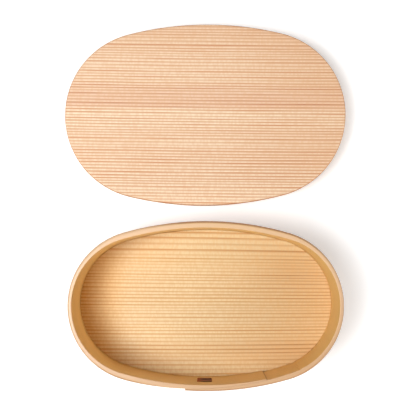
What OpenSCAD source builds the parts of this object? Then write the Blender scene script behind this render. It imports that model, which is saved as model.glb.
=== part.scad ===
// Bentwood lunch box: an oval box and its loose lid, which lies beside it.
// Each wall is one strip of cedar bent into an oval. The strip's ends are planed
// thin, lapped, and laced together with a strip of cherry bark.
// The origin is the middle of the box's underside, +Y points to the lid, +Z is up.

/* [Box] */
// Length of the box over its wall
box_l = 187; // [170:1:215]
// Width of the box over its wall
box_w = 115; // [104:1:126]
// Height of the box without its lid
box_h = 46; // [42:1:70]
// Thickness of the bottom board
bottom_t = 5.5; // [4:0.5:7]

/* [Bent strips] */
// Thickness of a strip along the long sides
strip_side = 4.4; // [3.6:0.1:5]
// Thickness of a strip round the ends
strip_end = 2.8; // [2.6:0.1:4]
// Rounding of the outer edge of the box's rim
rim_round = 1.7; // [0.4:0.1:2]
// Rounding that takes the sharpness off the other edges
eased = 0.4; // [0.2:0.1:0.8]

/* [Lap joint] */
// Where a strip's outer end stops along the front
lap_x = -14; // [-22:1:-9]
// Length over which the two ends lie on each other
lap_l = 55; // [45:1:60]
// Thickness left at the outer end
outer_end_t = 1.5; // [0.8:0.1:1.7]
// Thickness left at the inner end
inner_end_t = 0.8; // [0.3:0.1:1.2]
// Glue line between the lapped ends
seam = 0.12; // [0.1:0.02:0.2]

/* [Bark lacing] */
// Middle of the lacing along the front
lace_x = -1; // [-3:0.2:6]
// Width of the strip of bark
lace_w = 10.5; // [6:0.5:12]
// Thickness of the bark
bark_t = 0.6; // [0.4:0.05:0.65]
// Rounding of the bark where it turns into a slit
bark_round = 0.9; // [0.4:0.1:1]
// Height of the lacing on the box
box_lace_h = 15; // [12:0.2:22]
// Stitches that share that height
box_stitches = 2; // [1:1:3]
// Depth of the lacing's middle below the box's rim
lace_drop = 22.4; // [16:0.2:26]
// Height of the lacing on the lid
lid_lace_h = 7; // [5:0.2:8]
// Stitches that share that height
lid_stitches = 1; // [1:1:2]
// Room between the bark and the wood
bark_room = 0.08; // [0.05:0.01:0.12]

/* [Lid] */
// Height of the lid
lid_h = 18; // [17:0.5:24]
// Thickness of the lid's board
lid_board_t = 5; // [4.5:0.5:6.5]
// Depth that the board is let into its strip
rebate = 2; // [1:0.5:2.5]
// Reach of the board past its strip at the ends
end_overhang = 1.6; // [0.5:0.1:3]
// Reach of the board past its strip along the sides
side_overhang = 0.7; // [0.5:0.1:3]
// Rounding of the board's upper edge
lid_round = 1.4; // [0.5:0.1:1.6]
// Free play between the lid's strip and the box, all round
lid_play = 1.5; // [1.5:0.1:2]
// Glue line between a board and its strip
glue = 0.15; // [0.1:0.05:0.25]

/* [Layout] */
// Where the lid is
lid_place = "beside"; // [beside, on_box]
// Space between the box and the lid lying beside it
lid_gap = 12.2; // [8:0.1:60]
// Shift of the lid along the box, when beside it
lid_shift = -0.4; // [-20:0.2:20]
// Turn of the lid, when beside it: its lap lies on the far side
lid_turn = -179.5; // [-180:0.5:180]

/* [Hidden] */
$fn = 180;

cedar = "#efc48f";
pale_cedar = "#f7d9b4";
cherry_bark = "#4a2412";

// An oval's arcs meet on the long side of a triangle, whose corners are the oval's
// middle and the centres of an end arc and a side arc. These are the legs of such a
// triangle: the strips bend to the first, the lid's board is sawn fuller
bent_legs = [7, 24];
full_legs = [16, 63];

// An oval is [half its length, half its width, its triangle's legs]
box_outside = [box_l / 2, box_w / 2, bent_legs];
box_inside = grown(box_outside, -strip_end, -strip_side);
lid_inside = grown(box_outside, lid_play, lid_play);
lid_outside = grown(lid_inside, strip_end, strip_side);
lid_edge = fuller(grown(lid_outside, end_overhang, side_overhang), full_legs);

lip_t = lid_board_t - rebate;
lid_strip_h = lid_h - lip_t;
lid_depth = lid_h - lid_board_t;
beside_y = box_outside[1] + lid_gap + lid_edge[1];

// A lacing is [height of its lower end, number of stitches, length of a stitch]
box_lace = [box_h - lace_drop - box_lace_h / 2, box_stitches, box_lace_h / box_stitches];
lid_lace = [(lid_depth - lid_lace_h) / 2, lid_stitches, lid_lace_h / lid_stitches];

// The strip's ends are planed at the slope that leaves both their thicknesses
slope = asin((strip_side - outer_end_t - inner_end_t) / lap_l);

// Finest step of an oval's triangle
grain = 0.001;
// Reach of the wedges that part an oval's arcs, a multiple of both triangles' long sides
far = 975;
// Distance that the rectangle tying an oval's parts together keeps from its outline
tie = 0.5;
// Flats that make up a rounded edge
flats = 5;

// The same oval, larger by these amounts at its ends and along its sides
function grown(o, ends, sides) = [o[0] + ends, o[1] + sides, o[2]];

// An oval of the same length and width on another triangle
function fuller(o, legs) = [o[0], o[1], legs];

// Direction in which an oval's arcs meet
function meeting(o) = o[2] / norm(o[2]);

// Size of an oval's triangle, and what follows from it: the distances of the end
// arcs' and side arcs' centres from the middle, and the radii of those arcs
function triangle(o) =
    round((o[0] - o[1]) / (o[2].x + o[2].y - norm(o[2])) / grain) * grain;
function end_c(o) = o[2].x * triangle(o);
function side_c(o) = o[2].y * triangle(o);
function end_r(o) = o[0] - end_c(o);
function side_r(o) = end_r(o) + norm(o[2]) * triangle(o);

// Point of the front wall at a place along it, on a radius about its arc's centre
function front(o, x, radius) = [x, side_c(o) - sqrt(radius * radius - x * x)];

// Direction of a point seen from a centre
function bearing(from, to) = atan2(to.y - from.y, to.x - from.x);

// Centre of the arc through two points, on its +Y side
function arc_centre(a, b, radius) =
    let (across = b - a, half = norm(across) / 2)
    (a + b) / 2 + [-across.y, across.x] / norm(across) * sqrt(radius * radius - half * half);

// Angle that a length takes up on a radius
function angle_of(length, radius) = asin(length / radius);

// Wedge of the plane that an oval's end arc lies in
module end_wedge(o) {
    translate([end_c(o), 0])
        polygon([[0, 0], far * [meeting(o).x, -meeting(o).y], far * meeting(o)]);
}

// The part of the plane that an oval's side arc lies in
module side_wedge(o) {
    corner = [end_c(o), 0];
    reach = corner + far * meeting(o);
    polygon([[-corner.x, 0], corner, reach, [-reach.x, reach.y]]);
}

// Filled oval of four true arcs: a whole circle at each end lies within it, and a
// rectangle ties its two sides together
module oval(o) {
    square(2 * (end_r(o) * meeting(o) + [end_c(o) - tie, -tie]), center = true);
    for (half_turn = [0, 180])
        rotate(half_turn) {
            translate([end_c(o), 0]) circle(end_r(o));
            intersection() {
                translate([0, -side_c(o)]) circle(side_r(o));
                side_wedge(o);
            }
        }
}

// Section carried round an oval: its x is measured outwards from the oval
module carried_round(o) {
    for (half_turn = [0, 180])
        rotate(half_turn) {
            intersection() {
                translate([end_c(o), 0, 0])
                    rotate_extrude() translate([end_r(o), 0]) children();
                linear_extrude(far, center = true) end_wedge(o);
            }
            intersection() {
                translate([0, -side_c(o), 0])
                    rotate_extrude() translate([side_r(o), 0]) children();
                linear_extrude(far, center = true) side_wedge(o);
            }
        }
}

// Wedge of the plane between two bearings from a centre
module wedge(centre, from, to) {
    translate(centre)
        polygon([[0, 0], far * [cos(from), sin(from)], far * [cos(to), sin(to)]]);
}

// Ring about a centre, between two radii and two bearings
module ring_part(centre, inner, outer, from, to) {
    intersection() {
        difference() {
            translate(centre) circle(outer);
            translate(centre) circle(inner);
        }
        wedge(centre, from, to);
    }
}

// Section of the cut that rounds an edge at the origin, below and to the left of it
module rounding_section(r) {
    arc = [for (i = [0 : flats]) r * [cos(90 * i / flats) - 1, sin(90 * i / flats) - 1]];
    start = 2 * arc[0] - arc[1];
    stop = 2 * arc[flats] - arc[flats - 1];
    polygon([
        start,
        each [for (i = [1 : flats - 1]) arc[i]],
        stop,
        [stop.x, r],
        [r, r],
        [r, start.y]
    ]);
}

// What rounds the upper and lower edges of a piece with an oval outline
module edge_cuts(o, h, upper, lower) {
    carried_round(o) translate([0, h]) rounding_section(upper);
    carried_round(o) mirror([0, 1]) rounding_section(lower);
}

// Board of an oval outline with rounded edges
module rounded_board(o, h, upper, lower) {
    difference() {
        linear_extrude(h) oval(o);
        edge_cuts(o, h, upper, lower);
    }
}

// What the lap takes away from a strip, seen from above: the planed outer face, the
// glue line and the planed inner face
module lap_cuts(o, hollow) {
    radius = side_r(o);
    outer_end = front(o, lap_x, radius - outer_end_t);
    inner_end = front(hollow, lap_x + lap_l, side_r(hollow) + inner_end_t);
    centre = arc_centre(outer_end, inner_end, radius);
    outer_bearing = bearing(centre, outer_end);
    inner_bearing = bearing(centre, inner_end);
    // The outer cut runs well past where the strip has its full thickness, the inner
    // one up to there
    outer_run = angle_of(2 * outer_end_t / sin(slope), radius);
    inner_run = angle_of((inner_end_t + seam) / sin(slope), radius);
    overlap = angle_of(seam, radius);
    ring_part(centre, radius, radius + strip_side, outer_bearing - outer_run, outer_bearing);
    ring_part(centre, radius, radius + seam, outer_bearing - overlap, inner_bearing + overlap);
    ring_part(centre, radius + seam - strip_side, radius + seam, inner_bearing, inner_bearing + inner_run);
}

// Slits that the bark passes through, one above the other
module slits(o, lace) {
    for (i = [0 : lace[1]]) {
        // The slits at the two ends hold one layer of bark, those between hold two
        below = i > 0 ? bark_t : 0;
        above = i < lace[1] ? bark_t : 0;
        translate([
            lace_x - lace_w / 2 - bark_room,
            -o[1] - strip_side,
            lace[0] + i * lace[2] - below - bark_room
        ])
            cube([lace_w + 2 * bark_room, 3 * strip_side, below + above + 2 * bark_room]);
    }
}

// One strip bent into an oval and lapped at the front, slit for its lacing
module bent_strip(o, h, upper_round, lace) {
    hollow = grown(o, -strip_end, -strip_side);
    difference() {
        linear_extrude(h)
            difference() {
                oval(o);
                oval(hollow);
                lap_cuts(o, hollow);
            }
        edge_cuts(o, h, upper_round, eased);
        carried_round(hollow) translate([0, h]) mirror([1, 0]) rounding_section(eased);
        slits(o, lace);
    }
}

// Rectangle with round corners
module rounded_square(size, r) {
    translate([r, 0]) square([size.x - 2 * r, size.y]);
    translate([0, r]) square([size.x, size.y - 2 * r]);
    for (right = [0, 1], top = [0, 1])
        translate([right ? size.x - r : r, top ? size.y - r : r])
            intersection() {
                circle(r);
                translate([right ? 0 : -r, top ? 0 : -r]) square(r);
            }
}

// Section of the bark that goes round the wood between two slits, the wall's outer
// face at x = 0
module stitch_section(l) {
    wrap = bark_room + bark_t;
    translate([-strip_side - wrap, 0])
        difference() {
            rounded_square([strip_side + 2 * wrap, l], bark_round);
            translate([bark_t, bark_t]) square([strip_side + 2 * bark_room, l - 2 * bark_t]);
        }
}

// One strip of bark, sewn up and back through its slits, so that a row of stitches
// shows on either side of the wall
module lacing(o, lace) {
    centre = [0, side_c(o)];
    ends = [for (end = [-1, 1]) bearing(centre, front(o, lace_x + end * lace_w / 2, side_r(o)))];
    translate([centre.x, centre.y, lace[0]])
        rotate(ends[0])
            rotate_extrude(angle = ends[1] - ends[0])
                translate([side_r(o), 0])
                    for (i = [0 : lace[1] - 1])
                        translate([0, i * lace[2]]) stitch_section(lace[2]);
}

// Puts the lid beside the box, or on it
module lid_at() {
    if (lid_place == "on_box")
        translate([0, 0, box_h - lid_depth]) children();
    else
        translate([lid_shift, beside_y, 0]) rotate(lid_turn) children();
}

module box_strip() {
    color(cedar) bent_strip(box_outside, box_h, rim_round, box_lace);
}

module bottom_board() {
    color(cedar) rounded_board(grown(box_inside, -glue, -glue), bottom_t, eased, eased);
}

module box_lacing() {
    color(cherry_bark) lacing(box_outside, box_lace);
}

module lid_strip() {
    color(cedar) lid_at() bent_strip(lid_outside, lid_strip_h, eased, lid_lace);
}

module lid_board() {
    color(pale_cedar)
        lid_at() {
            translate([0, 0, lid_strip_h]) rounded_board(lid_edge, lip_t, lid_round, eased);
            translate([0, 0, lid_depth])
                linear_extrude(rebate + lip_t / 2) oval(grown(lid_inside, -glue, -glue));
        }
}

module lid_lacing() {
    color(cherry_bark) lid_at() lacing(lid_outside, lid_lace);
}

box_strip();
bottom_board();
box_lacing();
lid_strip();
lid_board();
lid_lacing();
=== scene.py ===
# %% [markdown]
# # A bentwood lunch box with its lid beside it
#
# Two bent strips of cedar, two straight-grained boards and two lacings of cherry bark make the whole
# object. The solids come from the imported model, at their real size and place. This script gives each
# surface its wood or bark, fits the bottom board to the wall, sews the lacings anew, and lights and
# frames everything the way a shop photographs such a box: from straight above, on white.

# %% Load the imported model
import math

import bmesh
import bpy
from mathutils import Matrix, Vector


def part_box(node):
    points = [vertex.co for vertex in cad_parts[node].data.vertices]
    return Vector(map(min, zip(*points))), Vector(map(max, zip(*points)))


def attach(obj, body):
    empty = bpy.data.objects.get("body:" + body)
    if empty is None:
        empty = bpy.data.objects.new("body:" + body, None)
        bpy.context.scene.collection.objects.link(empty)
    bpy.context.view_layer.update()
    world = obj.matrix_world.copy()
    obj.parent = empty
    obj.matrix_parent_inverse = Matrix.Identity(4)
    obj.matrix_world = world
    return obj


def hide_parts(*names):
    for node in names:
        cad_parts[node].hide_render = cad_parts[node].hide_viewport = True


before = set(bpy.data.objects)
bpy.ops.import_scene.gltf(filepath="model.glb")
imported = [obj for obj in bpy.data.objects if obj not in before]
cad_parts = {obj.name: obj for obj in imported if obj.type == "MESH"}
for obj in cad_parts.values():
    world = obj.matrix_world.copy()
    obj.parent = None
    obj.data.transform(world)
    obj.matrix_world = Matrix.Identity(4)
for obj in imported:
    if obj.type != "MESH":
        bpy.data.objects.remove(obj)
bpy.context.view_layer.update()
MM = 0.001
print("pieces of the model:", ", ".join(sorted(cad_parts)))

# %% [markdown]
# ## Sizes
#
# Everything below is placed from the model's own boxes, so nothing has to be fitted by eye. The few
# sizes that a box doesn't tell, such as the thickness of a strip, are written down here once.

# %% Measure the model
strip_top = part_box("box_strip")[1]
rim_height = strip_top.z
box_half = strip_top.xy
floor_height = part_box("bottom_board")[1].z
lid_low, lid_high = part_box("lid_board")
lid_middle = ((lid_low + lid_high) / 2).xy
lid_turn = math.radians(-179.5)
lid_play = 1.5 * MM
strip_side = 4.4 * MM
strip_end = 2.8 * MM
lid_half = box_half + Vector((lid_play + strip_end, lid_play + strip_side))
print(f"rim {rim_height / MM:.1f} mm and floor {floor_height / MM:.1f} mm high")
print(f"box {2 * box_half.x / MM:.1f} by {2 * box_half.y / MM:.1f} mm")

# %% [markdown]
# ## Camera
#
# The photo looks straight down: both ovals are undistorted, and the walls lean away from one point in
# the upper part of the box. A camera that looks straight down and is framed off centre gives that with
# a lens shift, where a tilted camera would make the far end of the picture narrower.

# %% Hang the camera over the table
PICTURE = 416  # pixels along each side of the photo
SENSOR = 36  # millimetres
straight_down = Vector((207, 258))  # pixel that lies straight under the camera
rim_centre = Vector((205.8, 306.3))  # pixel in the middle of the box's rim
rim_length = 277.6  # pixels from end to end of that rim
camera_height = 612 * MM

rim_scale = rim_length / (2 * box_half.x)
focal = rim_scale * (camera_height - rim_height)
camera_data = bpy.data.cameras.new("camera")
camera_data.sensor_width = SENSOR
camera_data.lens = SENSOR * focal / PICTURE
camera_data.shift_x = 0.5 - straight_down.x / PICTURE
camera_data.shift_y = straight_down.y / PICTURE - 0.5
camera = bpy.data.objects.new("camera", camera_data)
camera.location = (
    (straight_down.x - rim_centre.x) / rim_scale,
    (rim_centre.y - straight_down.y) / rim_scale,
    camera_height,
)
bpy.context.scene.collection.objects.link(camera)
bpy.context.scene.camera = camera
bpy.context.scene.view_settings.view_transform = "Standard"
print(f"a lens of {camera_data.lens:.1f} mm, {camera_height:.3f} m over the table")
print(f"shifted by {camera_data.shift_x:.3f} and {camera_data.shift_y:.3f}")

# %% [markdown]
# ## Writing shader maths as Python
#
# A wood grain is a formula of place: how far across the rings, how far along them. Node by node such a
# formula is hard to read, so one small class wraps a node's output socket. Sums of wires add Math
# nodes, and every other node comes from one method, which first sets the node up and then fills or
# links its sockets.


# %% Wrap a socket
class Wire:
    """An output socket of a shader node."""

    def __init__(self, socket):
        self.socket = socket

    def node(self, kind, settings, inputs, output=0):
        """Adds a node to the same tree: its settings first, then the values or wires of its sockets."""
        made = self.socket.id_data.nodes.new("ShaderNode" + kind)
        for name, setting in settings.items():
            setattr(made, name, setting)
        for name, value in inputs.items():
            plug(made.inputs[name], value)
        return Wire(made.outputs[output])

    def maths(self, operation, first, second=0.0):
        return self.node("Math", {"operation": operation}, {0: first, 1: second})

    def __add__(self, other):
        return self.maths("ADD", self, other)

    __radd__ = __add__

    def __sub__(self, other):
        return self.maths("SUBTRACT", self, other)

    def __rsub__(self, other):
        return self.maths("SUBTRACT", other, self)

    def __mul__(self, other):
        return self.maths("MULTIPLY", self, other)

    __rmul__ = __mul__

    def __truediv__(self, other):
        return self.maths("DIVIDE", self, other)

    def __rtruediv__(self, other):
        return self.maths("DIVIDE", other, self)

    def __abs__(self):
        return self.maths("ABSOLUTE", self)

    def __floor__(self):
        return self.maths("FLOOR", self)

    def rise(self, low, high, start=0.0, end=1.0):
        """Goes smoothly from start to end while this wire goes from low to high."""
        return self.node(
            "MapRange",
            {"interpolation_type": "SMOOTHSTEP"},
            {"Value": self, "From Min": low, "From Max": high, "To Min": start, "To Max": end},
        )

    def hump(self, middle, reach):
        """1 where this wire is at the middle, falling smoothly to 0 at this reach on either side."""
        return abs(self - middle).rise(0.0, reach, 1.0, 0.0)

    def mix(self, first, second):
        """Colour that goes from the first to the second while this wire goes from 0 to 1."""
        return self.node("Mix", {"data_type": "RGBA"}, {0: self, 6: first, 7: second}, output=2)

    def split(self):
        """The three numbers of a vector."""
        return [self.node("SeparateXYZ", {}, {0: self}, output=axis) for axis in range(3)]

    def unit(self):
        """This vector at length 1."""
        return self.node("VectorMath", {"operation": "NORMALIZE"}, {0: self})

    def dot(self, other):
        """How far this vector goes along another one of length 1."""
        settings = {"operation": "DOT_PRODUCT"}
        return self.node("VectorMath", settings, {0: self, 1: other}, output="Value")

    def noise(self, detail=2.0):
        """Soft noise from 0 to 1 at this vector."""
        return self.node("TexNoise", {}, {"Vector": self, "Scale": 1.0, "Detail": detail})

    def wander(self):
        """Soft noise from 0 to 1 along this number."""
        settings = {"noise_dimensions": "1D"}
        return self.node("TexNoise", settings, {"W": self, "Scale": 1.0, "Detail": 1.0})

    def chance(self):
        """A number from 0 to 1 that differs from one whole number to the next."""
        return self.node("TexWhiteNoise", {"noise_dimensions": "1D"}, {"W": self})


def plug(socket, value):
    """Links a wire to a socket, or sets the socket to a plain value."""
    if isinstance(value, Wire):
        socket.id_data.links.new(value.socket, socket)
    elif socket.type == "RGBA":
        socket.default_value = (*value, 1)
    else:
        socket.default_value = value


def vector(x, y, z):
    """A vector of three numbers, of which the first is a wire."""
    return x.node("CombineXYZ", {}, {0: x, 1: y, 2: z})


print("operators: + - * / abs floor")


# %% Start a finish
def new_finish(name):
    """A material with its shader, and the place and the facing of a point on the piece."""
    finish = bpy.data.materials.new(name)
    finish.use_nodes = True
    shader = finish.node_tree.nodes["Principled BSDF"]
    surface = Wire(shader.outputs["BSDF"])
    place = surface.node("TexCoord", {}, {}, output="Object")
    facing = surface.node("TexCoord", {}, {}, output="Normal")
    return finish, shader, place, facing


def give(node, finish):
    """Sets the one material of a node of the model."""
    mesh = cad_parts[node].data
    mesh.materials.clear()
    mesh.materials.append(finish)
    print(f"{node} has its {finish.name}")


print(f"{len(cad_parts)} pieces wait for their finish")

# %% [markdown]
# ## Colours as they are seen
#
# A colour read off a photo is an sRGB value from 0 to 255, while a shader works with amounts of light.
# This turns the one into the other, so that the script can hold the colours in the form in which a
# person would check them.


# %% Read colours in sRGB
def srgb(red, green, blue):
    """A colour from 0 to 255 as amounts of light."""

    def light(value):
        share = value / 255
        return share / 12.92 if share <= 0.04045 else ((share + 0.055) / 1.055) ** 2.4

    return tuple(light(value) for value in (red, green, blue))


print("middle grey is", [round(value, 3) for value in srgb(128, 128, 128)])

# %% [markdown]
# ## Straight-grained cedar
#
# The boards are sawn so that the year rings stand upright in them: each year shows as a pale stretch of
# early wood that darkens towards a thin line of late wood and then stops short. The lines run nearly
# straight along the board, a little unevenly spaced, some strong and some faint. A ring number with its
# fraction gives all of that: the fraction draws the line, and the whole number decides how strong it
# is. A picture of wood would do it too, but it would stretch over the rounded edges, where real lines
# run on through the board.

# %% Draw year rings
SPELL_YEARS = 7  # years in a spell of wide or narrow rings
SPELL_SHIFT = 1.6  # years by which such spells move the lines at most
LINE_FULL = 0.85  # share of a year at which its line is darkest
LINE_STOP = 0.88  # share of a year at which the line stops short


def year_rings(across, along, spacing, onset, faintest, seed):
    """Late wood from 0 to 1, for places given across the rings and along the grain."""
    uneven = (across / (SPELL_YEARS * spacing) + seed).wander()
    years = across / spacing + uneven * SPELL_SHIFT
    year = math.floor(years)
    season = years - year
    line = season.rise(onset, LINE_FULL) - season.rise(LINE_STOP, 1.0)
    strength = (year + seed).chance().rise(0.0, 1.0, faintest, 1.0)
    fading = vector(along * 20, year * 3.7, seed).noise().rise(0.3, 0.7, 0.7, 1.0)
    return line * strength * fading


print(f"a line of late wood is fullest at {LINE_FULL:.0%} of its year")


# %% Draw fibres and ripple
def fibres(across, along, seed):
    """Fine streaks along the grain, from 0 to 1."""
    return vector(along * 25, across * 1800, seed).noise(detail=3.0)


def ripple(across, along, seed):
    """Faint waves across the grain, from 0 to 1."""
    return vector(along * 700, across * 300, seed).noise(detail=1.0)


print("fibres and ripple ready")

# %% Plane the cedar smooth
EARLY_ROUGHNESS = 0.46
LATE_ROUGHNESS = 0.38
RIDGE = 0.1 * MM


def planed(shader, colour, late, streak, gloss, polish=0.0):
    """Feeds a planed surface its colour, its sheen and the slight ridges of its late wood."""
    plug(shader.inputs["Base Color"], colour)
    roughness = late.rise(0.0, 1.0, EARLY_ROUGHNESS, LATE_ROUGHNESS) - polish
    plug(shader.inputs["Roughness"], roughness)
    shader.inputs["Specular IOR Level"].default_value = gloss
    height = late * 0.6 + streak * 0.4
    bump = height.node("Bump", {}, {"Height": height, "Strength": 0.25, "Distance": RIDGE})
    plug(shader.inputs["Normal"], bump)


print(f"roughness from {EARLY_ROUGHNESS} in early wood to {LATE_ROUGHNESS} in late wood")

# %% [markdown]
# The lid's board is the palest piece, with close, even lines that lean and bow a little. One band above
# the middle is pinker and ends at a line, and the wood below it is the palest of all. Painted light
# makes the front of the board paler, and painted shade darkens it towards the far side and the right
# end. The ends of the grain are darker than the face, and painted shade darkens the whole edge. Each of
# these is a soft mask over the board, mixed into the colours of early and late wood.


# %% Tone the lid's wood, with painted light and shade, by place
def lid_tones(across, along, over):
    """Colours of early and late wood on the lid, with painted light at the front and painted shade to
    the far side and right.
    """
    pink = across.rise(6.6 * MM, 7.8 * MM) - across.rise(16 * MM, 27 * MM)
    pale = across.rise(-10 * MM, -4 * MM) - across.rise(6.2 * MM, 7.2 * MM)
    # Painted light: the front of the board is paler.
    near = across.rise(-60 * MM, -22 * MM, 0.9, 0.0)
    early = (pale * 0.8 + near).mix(srgb(243, 219, 189), srgb(248, 229, 199))
    early = pink.mix(early, srgb(238, 206, 177))
    dark = pink.mix(srgb(202, 129, 85), srgb(185, 107, 71))
    # Painted shade: darker towards the far side and the right end.
    right = along.rise(0, 90 * MM, 0.0, 0.5) * over.rise(-60 * MM, -22 * MM)
    darker = over.rise(34 * MM, 62 * MM, 0.0, 0.5) + right * (1 - pale * 0.5)
    return darker.mix(early, srgb(230, 188, 150)), darker.mix(dark, srgb(176, 102, 60))


lid_year = 2.1 * MM
print(f"about {(lid_high.y - lid_low.y) / lid_year:.0f} years across the lid")


# %% Finish the lid's board
def lid_cedar():
    finish, shader, place, facing = new_finish("lid_cedar")
    x, y, z = place.split()
    along = x - lid_middle.x
    over = y - lid_middle.y
    wave = vector(along * 12, over * 40, 3.1).noise() - 0.5
    lean = along * (0.0105 - along * 0.035)
    across = over + lean + wave * (0.8 * MM) + z * 0.15
    late = year_rings(across, along, lid_year, onset=0.15, faintest=0.6, seed=4.3)
    streak = fibres(across, along, 1.7)
    early, dark = lid_tones(across, along, over)
    colour = late.mix(early, dark)
    tone = vector(along * 6, across * 70, 9.2).noise() * 0.6 + streak * 0.4
    colour = tone.rise(0.25, 0.75, 0.0, 0.2).mix(colour, srgb(224, 179, 135))
    colour = ripple(across, along, 6.6).rise(0.35, 0.65, 0.0, 0.3).mix(colour, srgb(219, 167, 123))
    level = abs(facing.split()[2])
    # Painted shade on the board's edge, with the darker end grain at its ends.
    colour = level.rise(0.55, 0.92, 0.9, 0.0).mix(colour, srgb(189, 129, 79))
    planed(shader, colour, late, streak, gloss=0.15)
    return finish


give("lid_board", lid_cedar())

# %% [markdown]
# The bottom board is a yellower piece with wider rings, widest towards both long sides and closest in
# the middle. The lines bow a little and draw closer together towards the right end. Over the wood lie
# painted light and shade: warm painted bounce light at the left end, painted shade to the right, greyer
# painted shade on the far side, painted shade in a band before the front wall and over the left half,
# and painted light along the front edge. A duller patch lies right of the middle.


# %% Tone the bottom board, with painted light and shade, by place
def bottom_tones(x, y, bent, late):
    """Colour of early and late wood on the bottom board, with painted light and shade, one soft patch
    over the other.
    """
    colour = late.mix(srgb(244, 221, 178), srgb(210, 149, 85))
    dull = late.mix(srgb(207, 167, 120), srgb(148, 97, 52))
    # Painted shade: duller to the right.
    right_end = x.rise(-40 * MM, 80 * MM, 0.0, 0.56)
    cloud = x.hump(62 * MM, 45 * MM) * y.hump(25 * MM, 24 * MM)
    # Painted shade in a band before the front wall, and over the middle of the left half.
    painted_front_shade = y.hump(-34 * MM, 14 * MM) * x.rise(-70 * MM, -50 * MM)
    painted_left_shade = x.hump(-48 * MM, 45 * MM) * y.hump(8 * MM, 46 * MM)
    colour = (right_end + cloud * 0.25 + painted_front_shade * 0.3 + painted_left_shade * 0.2).mix(colour, dull)
    # Painted shade, greyer, on the far side.
    far_side = bent.rise(15 * MM, 48 * MM, 0.0, 0.3)
    warm = late.mix(srgb(207, 162, 113), srgb(184, 132, 84))
    cool = late.mix(srgb(190, 189, 156), srgb(166, 150, 118))
    colour = far_side.mix(colour, x.rise(-65 * MM, 5 * MM).mix(warm, cool))
    # Painted warm bounce light at the left end.
    painted_warm_bounce = x.rise(-76 * MM, -52 * MM, 0.5, 0.0)
    colour = painted_warm_bounce.mix(colour, late.mix(srgb(249, 199, 121), srgb(219, 145, 72)))
    # Painted light along the front edge, where the wall's shade would fall.
    painted_edge_light = y.rise(-51 * MM, -40 * MM, 0.7, 0.0) * x.rise(-70 * MM, -45 * MM)
    return painted_edge_light.mix(colour, late.mix(srgb(254, 234, 190), srgb(234, 184, 118)))


bottom_year = 2.35 * MM
print(f"rings of {bottom_year / MM:.2f} mm in the middle of the bottom board")


# %% Finish the bottom board
def bottom_cedar():
    finish, shader, place, _ = new_finish("bottom_cedar")
    x, y, z = place.split()
    wave = vector(x * 10, y * 40, 7.7).noise() - 0.5
    from_left = x + 65 * MM
    gather = from_left * from_left * 1.8
    bow = x * (0.0042 - x * 0.037)
    bent = y * (1 + gather) + bow + wave * (0.9 * MM) + z * 0.2
    widening = 45
    across = bent * (1 - bent * bent * widening)
    late = year_rings(across, x, bottom_year, onset=0.4, faintest=0.5, seed=11.6)
    streak = fibres(bent, x, 5.4)
    colour = bottom_tones(x, y, bent, late)
    tone = vector(x * 5, bent * 60, 2.8).noise() * 0.6 + streak * 0.4
    colour = tone.rise(0.25, 0.75, 0.0, 0.22).mix(colour, srgb(227, 181, 116))
    colour = ripple(bent, x, 8.3).rise(0.35, 0.65, 0.0, 0.2).mix(colour, srgb(215, 162, 100))
    planed(shader, colour, late, streak, gloss=0.12)
    return finish


bottom_finish = bottom_cedar()
give("bottom_board", bottom_finish)

# %% [markdown]
# The maker saws this board to the wall as it is, and the wall isn't quite an oval: at the front, past
# the thin end of the lap, the strip is planed hollow over a finger's width. The model's board is a true
# oval, so a sliver of light would show there. The board is therefore made anew, as rings of points
# round the same oval that step out to the hollow, with the model's thickness and eased edges.

# %% Sizes of the lap
lap_start = -14 * MM  # outer end of the strip, from the middle of the front
lap_end = 41 * MM  # inner end of the strip, from there too
outer_end = 1.5 * MM  # thickness to which the outer end is planed
inner_end = 0.8 * MM  # thickness to which the inner end is planed
seam = 0.12 * MM  # glue between the lapped ends
glue = 0.15 * MM  # glue round the board
eased = 0.4 * MM  # rounding of the board's edges
print(f"lap from {lap_start / MM:.0f} to {lap_end / MM:.0f} mm")

# %% [markdown]
# The oval is drawn with a compass, as two end arcs and two side arcs. Each pair meets without a kink,
# because the line between the two centres goes through the point where the arcs meet. A triangle with
# sides of 7, 24 and 25 steps sets the centres, so every distance is a whole number of steps.

# %% Describe an oval of four arcs
END_OUT = 7
SIDE_OUT = 24
BETWEEN = 25


def oval_arcs(half):
    """Distances of the end and side arcs' centres from the middle, and the radii of those arcs."""
    step = (half.x - half.y) / (END_OUT + SIDE_OUT - BETWEEN)
    end_radius = half.x - END_OUT * step
    side_radius = half.x + (BETWEEN - END_OUT) * step
    return END_OUT * step, SIDE_OUT * step, end_radius, side_radius


print(f"side arcs of the wall with a radius of {oval_arcs(box_half)[3] / MM:.0f} mm")


# %% Find the planed hollow
def planed_hollow():
    """Centre and radius of the planed face past the thin end of the lap, and where it stops."""
    _, middle_out, _, radius = oval_arcs(box_half)
    _, middle_in, _, radius_in = oval_arcs(box_half - Vector((strip_end, strip_side)))
    deep = radius_in + inner_end
    thin = radius - outer_end
    start = Vector((lap_start, middle_out - math.sqrt(thin ** 2 - lap_start ** 2)))
    end = Vector((lap_end, middle_in - math.sqrt(deep ** 2 - lap_end ** 2)))
    across = end - start
    rise = math.sqrt(radius ** 2 - across.length_squared / 4)
    centre = (start + end) / 2 + across.orthogonal().normalized() * rise
    slope = (strip_side - outer_end - inner_end) / (lap_end - lap_start)
    run = math.asin((inner_end + seam) / slope / radius)
    bearing = math.atan2(end.y - centre.y, end.x - centre.x)
    return centre, radius + seam, centre.x + radius * math.cos(bearing + run)


hollow_centre, hollow_radius, hollow_stop = planed_hollow()
print(f"planed hollow up to {hollow_stop / MM:.1f} mm from the middle")

# %% Draw the board's outline
ARC_STEPS = 80
NUDGE = 0.00001


def fitted(point):
    """The point moved out to the planed hollow, where it lies before that."""
    if point.y > 0 or not lap_end < point.x < hollow_stop:
        return point
    off = point - hollow_centre
    return hollow_centre + off * max(1, (hollow_radius - glue) / off.length)


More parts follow.
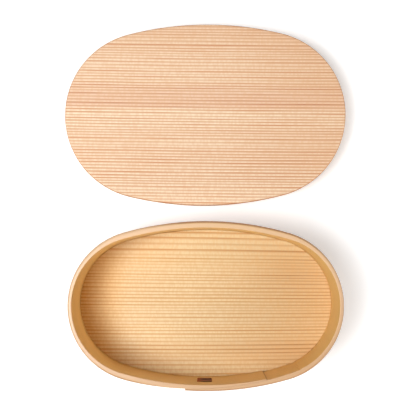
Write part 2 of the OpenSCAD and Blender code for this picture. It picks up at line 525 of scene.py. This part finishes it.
def board_outline():
    """Points round the board from its right end, each with the direction it faces."""
    inset = Vector((strip_end + glue, strip_side + glue))
    end_c, side_c, end_r, side_r = oval_arcs(box_half - inset)
    turn = math.atan2(SIDE_OUT, END_OUT)
    stop_angle = -math.acos((hollow_stop - end_c) / end_r)
    thin_angle = 2 * math.pi - math.acos(lap_end / side_r)
    arcs = [
        ((end_c, 0), end_r, -turn, turn, [stop_angle]),
        ((0, -side_c), side_r, turn, math.pi - turn, []),
        ((-end_c, 0), end_r, math.pi - turn, math.pi + turn, []),
        ((0, side_c), side_r, math.pi + turn, 2 * math.pi - turn, [thin_angle]),
    ]
    points = []
    for centre, radius, start, stop, corners in arcs:
        angles = [start + (stop - start) * step / ARC_STEPS for step in range(ARC_STEPS)]
        angles += [corner + nudge for corner in corners for nudge in (-NUDGE, NUDGE)]
        for angle in sorted(angles):
            facing = Vector((math.cos(angle), math.sin(angle)))
            points.append((fitted(Vector(centre) + radius * facing), facing))
    return points


outline = board_outline()
reach = [max(abs(point[axis]) for point, facing in outline) / MM for axis in range(2)]
print(f"{len(outline)} points round a board of {2 * reach[0]:.1f} by {2 * reach[1]:.1f} mm")


# %% Build the board
def new_piece(mesh, finish, crease):
    """Puts a mesh into the scene with its finish, smooth up to an angle of this many degrees."""
    mesh.shade_smooth()
    mesh.set_sharp_from_angle(angle=math.radians(crease))
    mesh.materials.append(finish)
    piece = bpy.data.objects.new(mesh.name, mesh)
    bpy.context.scene.collection.objects.link(piece)
    return piece


def fitted_board():
    """The bottom board as rings of points, from the lower face up to the upper one."""
    low, high = (corner.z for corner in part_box("bottom_board"))
    quarter = [math.radians(angle) for angle in (0, 30, 60, 90)]
    levels = [(eased * (1 - math.sin(a)), low + eased * (1 - math.cos(a))) for a in quarter]
    levels += [(inset, low + high - z) for inset, z in reversed(levels)]
    points = []
    for inset, z in levels:
        points += [(*(point - inset * facing), z) for point, facing in outline]
    count = len(outline)
    faces = [tuple(reversed(range(count))), tuple(range(len(points) - count, len(points)))]
    for row in range(len(levels) - 1):
        for spot in range(count):
            here = row * count + spot
            over = row * count + (spot + 1) % count
            faces.append((here, over, over + count, here + count))
    mesh = bpy.data.meshes.new("fitted_board")
    mesh.from_pydata(points, [], faces)
    return new_piece(mesh, bottom_finish, crease=40)


board = fitted_board()
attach(board, "box")
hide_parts("bottom_board")
print(f"board with {len(board.data.polygons)} faces fitted")

# %% [markdown]
# ## Bent cedar
#
# The strips are cut along the grain and bent, so their lines run round the wall at one height. Since
# the wall is upright, height is the place across the rings. The inner face has darkened to a warm tan,
# with painted light at its foot and low on the left wall, and painted shade under the left rim. The
# outer one, which hands touch, is browner, with painted shade where it rounds over to an edge. The
# planed upper edge is as pale as the boards; painted shade darkens its outer side, apart from the ends
# and the far left, and painted light brightens its inner side at the right end. At the lap, the cut
# ends of the strip show darker end grain, and a painted shadow of the thin end's step lies inside
# beside it. A picture wrapped round the wall would need a seam. Formulas of place and facing need none,
# and each tone is one more layer that is mixed over the last.

# %% Tone the inner face, with painted light and shade
LIT_TAN = srgb(246, 206, 130)


def inner_face(x, z, late, streak, inside):
    """Tan, greener at the right end, with painted light at the foot and low on the left wall and
    painted shade below the left rim.
    """
    face = (late * 0.8).mix(srgb(229, 187, 112), srgb(204, 149, 78))
    face = streak.rise(0.3, 0.7, 0.0, 0.25).mix(face, srgb(213, 163, 91))
    right_end = late.mix(srgb(213, 177, 107), srgb(200, 155, 88))
    face = x.rise(50 * MM, 85 * MM).mix(face, right_end)
    # Painted light along the foot of the inner face.
    foot = z.rise(floor_height, floor_height + 2 * MM, 1.0, 0.0) * inside
    face = foot.mix(face, LIT_TAN)
    left_wall = x.rise(-88 * MM, -60 * MM, 1.0, 0.0) * inside
    # Painted shade on the left wall, deepest at the rim, and painted light low on it.
    upper = left_wall * z.rise(floor_height, rim_height, 0.0, 0.35)
    face = upper.mix(face, srgb(176, 124, 62))
    lower = left_wall * z.rise(floor_height, floor_height + 26 * MM, 0.6, 0.0)
    return lower.mix(face, LIT_TAN)


print(f"inner face from {floor_height / MM:.1f} mm up to the rim at {rim_height / MM:.1f} mm")


# %% Tone the outer face and the rim
def handled_and_shaded_face(late, streak, upward):
    """Browner tan, with painted shade darkest where the face rounds over to an edge."""
    face = (late * 0.9).mix(srgb(219, 171, 112), srgb(188, 131, 76))
    face = streak.rise(0.3, 0.7, 0.0, 0.35).mix(face, srgb(193, 142, 87))
    # Painted shade where the face rounds over to an edge.
    return abs(upward).rise(0.1, 0.45).mix(face, srgb(164, 119, 76))


def planed_edge(x, over, upward, rounded):
    """1 on the edges of the strip; painted shade lowers it on their outer side, apart from the ends and
    the far left.
    """
    # Painted shade on the outer rounding, hardly any at the left end and less at the right end.
    shaded_rounding = rounded * x.rise(-85 * MM, -60 * MM, 0.1, 1.0) * x.rise(70 * MM, 88 * MM, 1.0, 0.4)
    # On the far side left of the middle the painted shade is taken off.
    far_side = over.rise(25 * MM, 45 * MM)
    shaded_rounding = shaded_rounding * (1 - far_side * x.rise(-50 * MM, -10 * MM, 1.0, 0.0))
    return abs(upward).rise(0.35, 0.7) * (1 - shaded_rounding)


def rim_tone(x, y, outside):
    """Pale wood, a little darker at the front, with painted light on the inner side of the right end.
    """
    rim = y.rise(-40 * MM, 40 * MM).mix(srgb(201, 160, 119), srgb(217, 178, 138))
    # Painted light on the inner side of the right end, which faces the lamps.
    painted_lit_inside = outside.rise(-0.9, -0.2, 1.0, 0.0) * x.rise(40 * MM, 85 * MM)
    return painted_lit_inside.mix(rim, srgb(238, 204, 167))


print("outer face and rim toned")


# %% Mark the lap
def lap_marks(colour, near_lap, aside, past_end, outside):
    """Adds the end grain of the cut ends, and a painted shadow of the step inside at the thin end."""
    cut_end = abs(aside).rise(0.7, 0.95) * near_lap
    colour = cut_end.mix(colour, srgb(142, 89, 47))
    inside = outside.rise(-0.6, -0.2, 1.0, 0.0)
    # Painted shadow of the thin end's step, on the inner face.
    painted_step_shadow = past_end.hump(0.3 * MM, 0.8 * MM) * near_lap * inside
    return painted_step_shadow.mix(colour, srgb(138, 76, 30))


print(f"thin end {lap_end / MM:.0f} mm right of the middle")


# %% Finish the bent strips
def bent_cedar(name, seed, centre_y, to_lap, thin_end):
    """Wood of a strip round centre_y, its lap at to_lap from there and its thin end at thin_end."""
    finish, shader, place, facing = new_finish(name)
    x, y, z = place.split()
    aside, forth, upward = facing.split()
    over = y - centre_y
    outside = vector(aside, forth, 0.0).dot(vector(x, over, 0.0).unit())
    inside = outside.rise(-0.5, 0.0, 1.0, 0.0)
    # The far side's share widens the painted shade on the outer rounding there.
    rounded = (outside + over.rise(35 * MM, 55 * MM, 0.0, 0.18)).rise(0.1, 0.5)
    wave = vector(x * 9, y * 9, z * 30 + seed).noise() - 0.5
    across = z + wave * (2 * MM)
    late = year_rings(across, x + y, 1.9 * MM, onset=0.2, faintest=0.45, seed=seed)
    streak = vector(x * 20, y * 20, across * 1500).noise(detail=3.0)
    inner = inner_face(x, z, late, streak, inside)
    face = rounded.mix(inner, handled_and_shaded_face(late, streak, upward))
    edge = planed_edge(x, over, upward, rounded)
    colour = edge.mix(face, rim_tone(x, y, outside))
    near_lap = (over / to_lap).rise(0.8, 0.86, 0.0, 0.7)
    colour = lap_marks(colour, near_lap, aside, x - thin_end, outside)
    planed(shader, colour, late, streak, gloss=0.5, polish=edge * 0.13)
    return finish


box_wood = bent_cedar(
    "bent_cedar_box", seed=21.4, centre_y=0.0, to_lap=-box_half.y, thin_end=lap_end
)
lid_wood = bent_cedar(
    "bent_cedar_lid",
    seed=34.9,
    centre_y=lid_middle.y,
    to_lap=lid_half.y,
    thin_end=lid_middle.x - lap_end,
)
give("box_strip", box_wood)
give("lid_strip", lid_wood)

# %% [markdown]
# ## Cherry bark
#
# The bark is dark and dense, with short pale lines across the strip and a redder raw edge. Inside the
# box each stitch has a painted sheen where it stands out most, and the left edge has dried to a rust
# colour.
# The bark is smooth enough to shine a little, but on the inside it is seen almost edge on, where a
# strong gloss would turn it grey.

# %% Place the bark
lace_middle = -1 * MM
lace_width = 10.5 * MM
box_stitches = 2
print(f"bark {lace_width / MM:.1f} mm wide, {lace_middle / MM:+.1f} mm from the middle of the front")


# %% Finish the bark
def cherry_bark():
    finish, shader, place, facing = new_finish("cherry_bark")
    x, y, z = place.split()
    mottle = vector(x * 350, y * 350, z * 350).noise()
    pores = vector(x * 260, y * 260, z * 1600).noise()
    low, high = (corner.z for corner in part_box("box_lacing"))
    turns = (z - low) * (box_stitches / (high - low))
    # Painted sheen: paler where each stitch stands out most and faces into the box.
    painted_sheen = (turns.hump(0.58, 0.3) + turns.hump(1.77, 0.25)) * facing.split()[1].rise(0.3, 0.7)
    dry = x.rise(lace_middle - 0.5 * lace_width, lace_middle - 0.1 * lace_width, 0.8, 0.0)
    raw = abs(x - lace_middle).rise(0.43 * lace_width, 0.5 * lace_width)
    colour = mottle.rise(0.3, 0.7).mix(srgb(42, 16, 5), srgb(62, 27, 11))
    colour = pores.rise(0.6, 0.72, 0.0, 0.4).mix(colour, srgb(124, 74, 52))
    colour = painted_sheen.mix(colour, srgb(170, 114, 88))
    colour = dry.mix(colour, srgb(174, 90, 42))
    colour = raw.mix(colour, srgb(160, 78, 40))
    plug(shader.inputs["Base Color"], colour)
    plug(shader.inputs["Roughness"], mottle.rise(0.2, 0.8, 0.45, 0.6))
    bump = pores.node("Bump", {}, {"Height": pores, "Strength": 0.3, "Distance": RIDGE})
    plug(shader.inputs["Normal"], bump)
    shader.inputs["Specular IOR Level"].default_value = 0.08
    return finish


bark = cherry_bark()
print(f"{bark.name} mixed from {len(bark.node_tree.nodes)} nodes")

# %% [markdown]
# ## Lacing
#
# One strip of bark is sewn up the lap and back through slits, so that every stretch of wood between two
# slits is wrapped by bark. Where the bark leaves a slit it turns in a small curve, and on the way to
# the next slit it stands a little away from the wood, most of all two thirds of the way up. The model's
# solids have flat stitches with square edges. Here each stitch is a closed band made of rows of points:
# a loop round the wood, repeated from one edge of the strip to the other along the bend of the wall,
# thinner at the raw edges.

# %% Sizes of the lacing
bark_thick = 0.6 * MM
bark_room = 0.08 * MM  # between the bark and the wood
bark_turn = 0.9 * MM  # outer radius where the bark turns into a slit
crown_outside = 0.2 * MM  # how far a stitch stands out on the outside
crown_inside = [0.5 * MM, 0.4 * MM]  # the same on the inside, from the lowest stitch up
stitch_gap = 0.02 * MM  # from a stitch to the middle of its slit
TURN_STEPS = 4
FACE_STEPS = 8
# Places across the bark, from -1 to 1, and the share of the thickness that is left there.
edge_thins = [(-1.0, 0.4), (-0.96, 0.75), (-0.88, 1.0), (-0.45, 1.0), (0.0, 1.0)]
edge_thins += [(-share, thin) for share, thin in reversed(edge_thins[:-1])]
print(f"{len(edge_thins)} loops across {lace_width / MM:.0f} mm of bark")


# %% Draw the loop of one stitch
def crown_at(height):
    """How far the crown stands out at this share of the height, 1 at two thirds."""
    return 27 / 4 * height * height * (1 - height)


def stitch_loop(low, high, slack):
    """Points round the wood between two slits, each with the way it faces, both as (outwards, up)."""
    wrap = bark_room + bark_thick
    left = -strip_side - wrap + bark_turn
    right = wrap - bark_turn
    bottom = low + stitch_gap + bark_turn
    top = high - stitch_gap - bark_turn
    loop = []
    for number, corner in enumerate([(right, bottom), (right, top), (left, top), (left, bottom)]):
        for step in range(TURN_STEPS + 1):
            angle = math.radians(90 * (number - 1) + 90 * step / TURN_STEPS)
            facing = Vector((math.cos(angle), math.sin(angle)))
            loop.append((Vector(corner) + bark_turn * facing, facing))
        if number in (0, 2):
            start, facing = loop[-1]
            rise = Vector((0, (top - bottom) * (1 if number == 0 else -1)))
            for step in range(1, FACE_STEPS):
                share = step / FACE_STEPS
                height = share if number == 0 else 1 - share
                crown = (crown_outside if number == 0 else slack) * crown_at(height)
                loop.append((start + share * rise + crown * facing, facing))
    return loop


print("points round one stitch:", len(stitch_loop(0, 7 * MM, crown_outside)))


# %% Close a loop into a band
def add_band(points, faces, loop, radius, bend):
    """Adds one stitch along an arc of this radius, whose centre lies this far behind the middle."""
    first = len(points)
    for share, thin in edge_thins:
        around = math.asin((lace_middle + share * lace_width / 2) / radius)
        for place, facing in loop:
            for depth in (1 - thin, 1):
                spot = place - depth * bark_thick * facing
                out = radius + spot.x
                points.append((out * math.sin(around), bend - out * math.cos(around), spot.y))
    count = len(loop)
    row_size = 2 * count
    for row in range(len(edge_thins) - 1):
        for spot in range(count):
            here = first + 2 * (row * count + spot)
            over = first + 2 * (row * count + (spot + 1) % count)
            faces.append((here, here + row_size, over + row_size, over))
            faces.append((here + 1, over + 1, over + row_size + 1, here + row_size + 1))
    last = first + row_size * (len(edge_thins) - 1)
    for spot in range(count):
        here = 2 * spot
        over = 2 * ((spot + 1) % count)
        faces.append((first + here, first + over, first + over + 1, first + here + 1))
        faces.append((last + here, last + here + 1, last + over + 1, last + over))


print(f"bark {edge_thins[0][1] * bark_thick / MM:.2f} mm thick at its raw edges")


# %% Sew the lacings
def sewn(name, node, half, stitches, centre, turn):
    """Stitches for a lacing of the model, along the front of an oval of this half length and width."""
    _, bend, _, radius = oval_arcs(half)
    low, high = (corner.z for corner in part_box(node))
    length = (high - low) / stitches
    points = []
    faces = []
    for stitch in range(stitches):
        start = low + stitch * length
        stop = low + (stitch + 1) * length
        add_band(points, faces, stitch_loop(start, stop, crown_inside[stitch]), radius, bend)
    mesh = bpy.data.meshes.new(name)
    mesh.from_pydata(points, [], faces)
    mesh.transform(Matrix.Translation((*centre, 0)) @ Matrix.Rotation(turn, 4, "Z"))
    shape = bmesh.new()
    shape.from_mesh(mesh)
    bmesh.ops.recalc_face_normals(shape, faces=shape.faces)
    volume = shape.calc_volume()
    shape.to_mesh(mesh)
    shape.free()
    print(f"{name}: {stitches} x {length / MM:.1f} mm, {volume / MM ** 3:.0f} cubic mm of bark")
    return new_piece(mesh, bark, crease=50)


box_bark = sewn("box_bark", "box_lacing", box_half, box_stitches, centre=(0, 0), turn=0)
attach(box_bark, "box")
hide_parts("box_lacing")
lid_bark = sewn("lid_bark", "lid_lacing", lid_half, 1, centre=lid_middle, turn=lid_turn)
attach(lid_bark, "lid")
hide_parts("lid_lacing")

# %% [markdown]
# ## Table and light
#
# The table is white paper. A camera sees it a little brighter than the light makes it, so that it comes
# out white and still keeps the soft shadows to the right of the lid and the box. Further out, where no
# shadow falls, it is plain white. Brighter lamps would make it white too, but they would bleach the
# wood.


# %% Tell what the camera sees from what gives light
def seen(surface):
    """1 for what the camera sees straight, mirrored or through glass, 0 for what only gives light."""
    paths = ("Is Camera Ray", "Is Glossy Ray", "Is Transmission Ray")
    straight, mirrored, through = (surface.node("LightPath", {}, {}, output=path) for path in paths)
    either = surface.maths("MAXIMUM", straight, mirrored)
    return surface.maths("MAXIMUM", either, through)


print("light paths told apart")

# %% Make the paper
PAPER_GLOW = 0.38
SHADOWS_END = 0.35
PLAIN_WHITE = 0.9


def paper_white():
    finish, shader, place, _ = new_finish("paper")
    fibre = place.node("TexNoise", {}, {"Vector": place, "Scale": 900.0})
    plug(shader.inputs["Base Color"], fibre.mix((0.80, 0.80, 0.80), (0.84, 0.84, 0.84)))
    plug(shader.inputs["Roughness"], fibre.rise(0.0, 1.0, 0.85, 0.95))
    shader.inputs["Specular IOR Level"].default_value = 0.0
    surface = Wire(shader.outputs["BSDF"])
    glow = surface.node("Emission", {}, {"Color": (1, 1, 1), "Strength": PAPER_GLOW})
    bright = surface.node("AddShader", {}, {0: surface, 1: glow})
    white = surface.node("Emission", {}, {"Color": (1, 1, 1), "Strength": 1.0})
    away = place.node("VectorMath", {"operation": "LENGTH"}, {0: place}, output="Value")
    far_out = away.rise(SHADOWS_END, PLAIN_WHITE)
    shown = surface.node("MixShader", {}, {0: far_out, 1: bright, 2: white})
    both = surface.node("MixShader", {}, {0: seen(surface), 1: surface, 2: shown})
    plug(finish.node_tree.nodes["Material Output"].inputs["Surface"], both)
    return finish


print(f"paper turns plain white from {SHADOWS_END} to {PLAIN_WHITE} m off")

# %% Lay the table
table_reach = 4.0
sheet = bpy.data.meshes.new("table")
corners = [(-table_reach, -table_reach, 0), (table_reach, -table_reach, 0)]
corners += [(table_reach, table_reach, 0), (-table_reach, table_reach, 0)]
sheet.from_pydata(corners, [], [(0, 1, 2, 3)])
sheet.materials.append(paper_white())
table = bpy.data.objects.new("table", sheet)
table.location.z = -0.05 * MM
bpy.context.scene.collection.objects.link(table)
print(f"table of {2 * table_reach:.0f} m laid")

# %% [markdown]
# Two soft boxes hang side by side over the left of the table. They give the shadows at the left inside
# the box and to the right of both pieces. White cards stand low on the other three sides, as weak
# lamps, and brighten the walls that turn away from the soft boxes. The room itself gives hardly any
# light, and looks white where it is seen.

# %% Paint the room white
AMBIENT = 0.03
sky = bpy.data.worlds.new("studio")
bpy.context.scene.world = sky
sky.use_nodes = True
room = Wire(sky.node_tree.nodes["Background"].outputs["Background"])
ambient = room.node("Background", {}, {"Color": (1, 1, 1), "Strength": AMBIENT})
white = room.node("Background", {}, {"Color": (1, 1, 1), "Strength": 1.0})
either = room.node("MixShader", {}, {0: seen(room), 1: ambient, 2: white})
plug(sky.node_tree.nodes["World Output"].inputs["Surface"], either)
print(f"room light of {AMBIENT}")

# %% Hang the lamps
lit_middle = Vector((0, 0.06, 0))


def soft_lamp(name, place, size, power):
    """A round lamp of this size and power, turned to the middle of the table."""
    lamp_data = bpy.data.lights.new(name, "AREA")
    lamp_data.shape = "DISK"
    lamp_data.size = size
    lamp_data.energy = power
    lamp = bpy.data.objects.new(name, lamp_data)
    lamp.location = place
    lamp.visible_camera = False
    aim = lit_middle - lamp.location
    lamp.rotation_euler = aim.to_track_quat("-Z", "Y").to_euler()
    bpy.context.scene.collection.objects.link(lamp)
    print(f"{name} of {power} W, {aim.length:.2f} m away")


soft_lamp("soft_box", (-0.42, -0.10, 1.05), size=0.6, power=8.2)
soft_lamp("side_box", (-0.66, -0.16, 1.05), size=0.6, power=6.0)
soft_lamp("right_card", (1.2, 0.0, 0.32), size=0.32, power=6.4)
soft_lamp("back_card", (0.0, 1.2, 0.5), size=1.0, power=2.8)
soft_lamp("front_card", (0.0, -1.2, 0.5), size=1.0, power=6.2)

# %% [markdown]
# ## Finish
#
# The last cell says that the script is done.

# %% Finish
print("script done")
